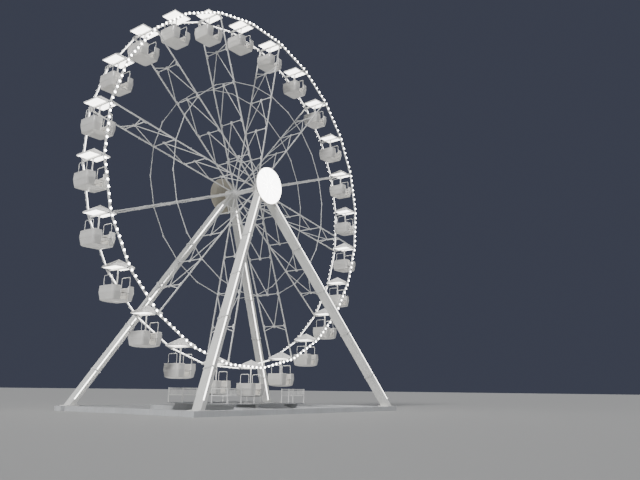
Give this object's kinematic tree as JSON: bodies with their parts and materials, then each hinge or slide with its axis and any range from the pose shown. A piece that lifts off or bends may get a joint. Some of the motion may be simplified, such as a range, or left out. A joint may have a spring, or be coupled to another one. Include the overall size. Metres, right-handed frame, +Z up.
{
  "type": "ferris wheel",
  "caption": "Large transportable observation wheel with open canopied gondolas hung between twin lit rims, trussed spokes, splayed box legs and a boarding deck.",
  "frame": {"origin": "centre of the ground plan at the underside of the base frame, under the wheel axis", "axes": "+Z up, +Y along the wheel axis away from the boarding side (the lit side of the wheel faces -Y), +X to the right seen from the boarding side"},
  "size_m": [31.6908, 14.81, 33.9154],
  "materials": {
    "frame_paint": "satin",
    "gondola_shell": "gloss",
    "lamp_disc": "matte, lit from within",
    "back_disc": "satin",
    "deck_plate": "tread plate, matte"
  },
  "bodies": {
    "support": {"near_bearing_head": "frame_paint", "far_bearing_head": "frame_paint", "near_hub_disc": "lamp_disc", "far_hub_disc": "back_disc", "near_left_leg": "frame_paint", "near_right_leg": "frame_paint", "far_left_leg": "frame_paint", "far_right_leg": "frame_paint", "near_base_beam": "frame_paint", "far_base_beam": "frame_paint", "left_base_beam": "frame_paint", "right_base_beam": "frame_paint", "deck_underframe": "frame_paint", "boarding_deck": "deck_plate", "boarding_steps": "deck_plate", "left_railing": "frame_paint", "right_railing": "frame_paint", "far_railing": "frame_paint"},
    "wheel": {"hub_drum": "frame_paint", "spoke_01": "frame_paint", "spoke_02": "frame_paint", "spoke_03": "frame_paint", "spoke_04": "frame_paint", "spoke_05": "frame_paint", "spoke_06": "frame_paint", "spoke_07": "frame_paint", "spoke_08": "frame_paint", "spoke_09": "frame_paint", "spoke_10": "frame_paint", "spoke_11": "frame_paint", "spoke_12": "frame_paint", "near_rim": "frame_paint", "far_rim": "frame_paint", "near_tie_ring": "frame_paint", "far_tie_ring": "frame_paint"},
    "gondola_01_body": {"gondola_01": "gondola_shell"},
    "gondola_02_body": {"gondola_02": "gondola_shell"},
    "gondola_03_body": {"gondola_03": "gondola_shell"},
    "gondola_04_body": {"gondola_04": "gondola_shell"},
    "gondola_05_body": {"gondola_05": "gondola_shell"},
    "gondola_06_body": {"gondola_06": "gondola_shell"},
    "gondola_07_body": {"gondola_07": "gondola_shell"},
    "gondola_08_body": {"gondola_08": "gondola_shell"},
    "gondola_09_body": {"gondola_09": "gondola_shell"},
    "gondola_10_body": {"gondola_10": "gondola_shell"},
    "gondola_11_body": {"gondola_11": "gondola_shell"},
    "gondola_12_body": {"gondola_12": "gondola_shell"},
    "gondola_13_body": {"gondola_13": "gondola_shell"},
    "gondola_14_body": {"gondola_14": "gondola_shell"},
    "gondola_15_body": {"gondola_15": "gondola_shell"},
    "gondola_16_body": {"gondola_16": "gondola_shell"},
    "gondola_17_body": {"gondola_17": "gondola_shell"},
    "gondola_18_body": {"gondola_18": "gondola_shell"},
    "gondola_19_body": {"gondola_19": "gondola_shell"},
    "gondola_20_body": {"gondola_20": "gondola_shell"},
    "gondola_21_body": {"gondola_21": "gondola_shell"},
    "gondola_22_body": {"gondola_22": "gondola_shell"},
    "gondola_23_body": {"gondola_23": "gondola_shell"},
    "gondola_24_body": {"gondola_24": "gondola_shell"}
  },
  "joints": [
    {"name": "wheel_spin", "type": "hinge", "parent": "support", "child": "wheel", "pos_m": [0, 0, 18.3], "axis": [0, 1, 0], "continuous": true},
    {"name": "gondola_01_hang", "type": "hinge", "parent": "wheel", "child": "gondola_01_body", "pos_m": [14.06652, 0, 23.50895], "axis": [0, 1, 0], "continuous": true},
    {"name": "gondola_02_hang", "type": "hinge", "parent": "wheel", "child": "gondola_02_body", "pos_m": [12.23904, 0, 26.97214], "axis": [0, 1, 0], "continuous": true},
    {"name": "gondola_03_hang", "type": "hinge", "parent": "wheel", "child": "gondola_03_body", "pos_m": [9.57749, 0, 29.84434], "axis": [0, 1, 0], "continuous": true},
    {"name": "gondola_04_hang", "type": "hinge", "parent": "wheel", "child": "gondola_04_body", "pos_m": [6.26325, 0, 31.92981], "axis": [0, 1, 0], "continuous": true},
    {"name": "gondola_05_hang", "type": "hinge", "parent": "wheel", "child": "gondola_05_body", "pos_m": [2.52218, 0, 33.08643], "axis": [0, 1, 0], "continuous": true},
    {"name": "gondola_06_hang", "type": "hinge", "parent": "wheel", "child": "gondola_06_body", "pos_m": [-1.39077, 0, 33.23539], "axis": [0, 1, 0], "continuous": true},
    {"name": "gondola_07_hang", "type": "hinge", "parent": "wheel", "child": "gondola_07_body", "pos_m": [-5.20894, 0, 32.36652], "axis": [0, 1, 0], "continuous": true},
    {"name": "gondola_08_hang", "type": "hinge", "parent": "wheel", "child": "gondola_08_body", "pos_m": [-8.67214, 0, 30.53904], "axis": [0, 1, 0], "continuous": true},
    {"name": "gondola_09_hang", "type": "hinge", "parent": "wheel", "child": "gondola_09_body", "pos_m": [-11.54434, 0, 27.87749], "axis": [0, 1, 0], "continuous": true},
    {"name": "gondola_10_hang", "type": "hinge", "parent": "wheel", "child": "gondola_10_body", "pos_m": [-13.62981, 0, 24.56325], "axis": [0, 1, 0], "continuous": true},
    {"name": "gondola_11_hang", "type": "hinge", "parent": "wheel", "child": "gondola_11_body", "pos_m": [-14.78643, 0, 20.82218], "axis": [0, 1, 0], "continuous": true},
    {"name": "gondola_12_hang", "type": "hinge", "parent": "wheel", "child": "gondola_12_body", "pos_m": [-14.93539, 0, 16.90923], "axis": [0, 1, 0], "continuous": true},
    {"name": "gondola_13_hang", "type": "hinge", "parent": "wheel", "child": "gondola_13_body", "pos_m": [-14.06652, 0, 13.09106], "axis": [0, 1, 0], "continuous": true},
    {"name": "gondola_14_hang", "type": "hinge", "parent": "wheel", "child": "gondola_14_body", "pos_m": [-12.23904, 0, 9.62786], "axis": [0, 1, 0], "continuous": true},
    {"name": "gondola_15_hang", "type": "hinge", "parent": "wheel", "child": "gondola_15_body", "pos_m": [-9.57749, 0, 6.75566], "axis": [0, 1, 0], "continuous": true},
    {"name": "gondola_16_hang", "type": "hinge", "parent": "wheel", "child": "gondola_16_body", "pos_m": [-6.26325, 0, 4.67019], "axis": [0, 1, 0], "continuous": true},
    {"name": "gondola_17_hang", "type": "hinge", "parent": "wheel", "child": "gondola_17_body", "pos_m": [-2.52218, 0, 3.51357], "axis": [0, 1, 0], "continuous": true},
    {"name": "gondola_18_hang", "type": "hinge", "parent": "wheel", "child": "gondola_18_body", "pos_m": [1.39077, 0, 3.36461], "axis": [0, 1, 0], "continuous": true},
    {"name": "gondola_19_hang", "type": "hinge", "parent": "wheel", "child": "gondola_19_body", "pos_m": [5.20894, 0, 4.23348], "axis": [0, 1, 0], "continuous": true},
    {"name": "gondola_20_hang", "type": "hinge", "parent": "wheel", "child": "gondola_20_body", "pos_m": [8.67214, 0, 6.06096], "axis": [0, 1, 0], "continuous": true},
    {"name": "gondola_21_hang", "type": "hinge", "parent": "wheel", "child": "gondola_21_body", "pos_m": [11.54434, 0, 8.72251], "axis": [0, 1, 0], "continuous": true},
    {"name": "gondola_22_hang", "type": "hinge", "parent": "wheel", "child": "gondola_22_body", "pos_m": [13.62981, 0, 12.03675], "axis": [0, 1, 0], "continuous": true},
    {"name": "gondola_23_hang", "type": "hinge", "parent": "wheel", "child": "gondola_23_body", "pos_m": [14.78643, 0, 15.77782], "axis": [0, 1, 0], "continuous": true},
    {"name": "gondola_24_hang", "type": "hinge", "parent": "wheel", "child": "gondola_24_body", "pos_m": [14.93539, 0, 19.69077], "axis": [0, 1, 0], "continuous": true}
  ],
  "couplings": [
    {"joint": "gondola_01_hang", "follows": "wheel_spin", "ratio": -1},
    {"joint": "gondola_02_hang", "follows": "wheel_spin", "ratio": -1},
    {"joint": "gondola_03_hang", "follows": "wheel_spin", "ratio": -1},
    {"joint": "gondola_04_hang", "follows": "wheel_spin", "ratio": -1},
    {"joint": "gondola_05_hang", "follows": "wheel_spin", "ratio": -1},
    {"joint": "gondola_06_hang", "follows": "wheel_spin", "ratio": -1},
    {"joint": "gondola_07_hang", "follows": "wheel_spin", "ratio": -1},
    {"joint": "gondola_08_hang", "follows": "wheel_spin", "ratio": -1},
    {"joint": "gondola_09_hang", "follows": "wheel_spin", "ratio": -1},
    {"joint": "gondola_10_hang", "follows": "wheel_spin", "ratio": -1},
    {"joint": "gondola_11_hang", "follows": "wheel_spin", "ratio": -1},
    {"joint": "gondola_12_hang", "follows": "wheel_spin", "ratio": -1},
    {"joint": "gondola_13_hang", "follows": "wheel_spin", "ratio": -1},
    {"joint": "gondola_14_hang", "follows": "wheel_spin", "ratio": -1},
    {"joint": "gondola_15_hang", "follows": "wheel_spin", "ratio": -1},
    {"joint": "gondola_16_hang", "follows": "wheel_spin", "ratio": -1},
    {"joint": "gondola_17_hang", "follows": "wheel_spin", "ratio": -1},
    {"joint": "gondola_18_hang", "follows": "wheel_spin", "ratio": -1},
    {"joint": "gondola_19_hang", "follows": "wheel_spin", "ratio": -1},
    {"joint": "gondola_20_hang", "follows": "wheel_spin", "ratio": -1},
    {"joint": "gondola_21_hang", "follows": "wheel_spin", "ratio": -1},
    {"joint": "gondola_22_hang", "follows": "wheel_spin", "ratio": -1},
    {"joint": "gondola_23_hang", "follows": "wheel_spin", "ratio": -1},
    {"joint": "gondola_24_hang", "follows": "wheel_spin", "ratio": -1}
  ]
}
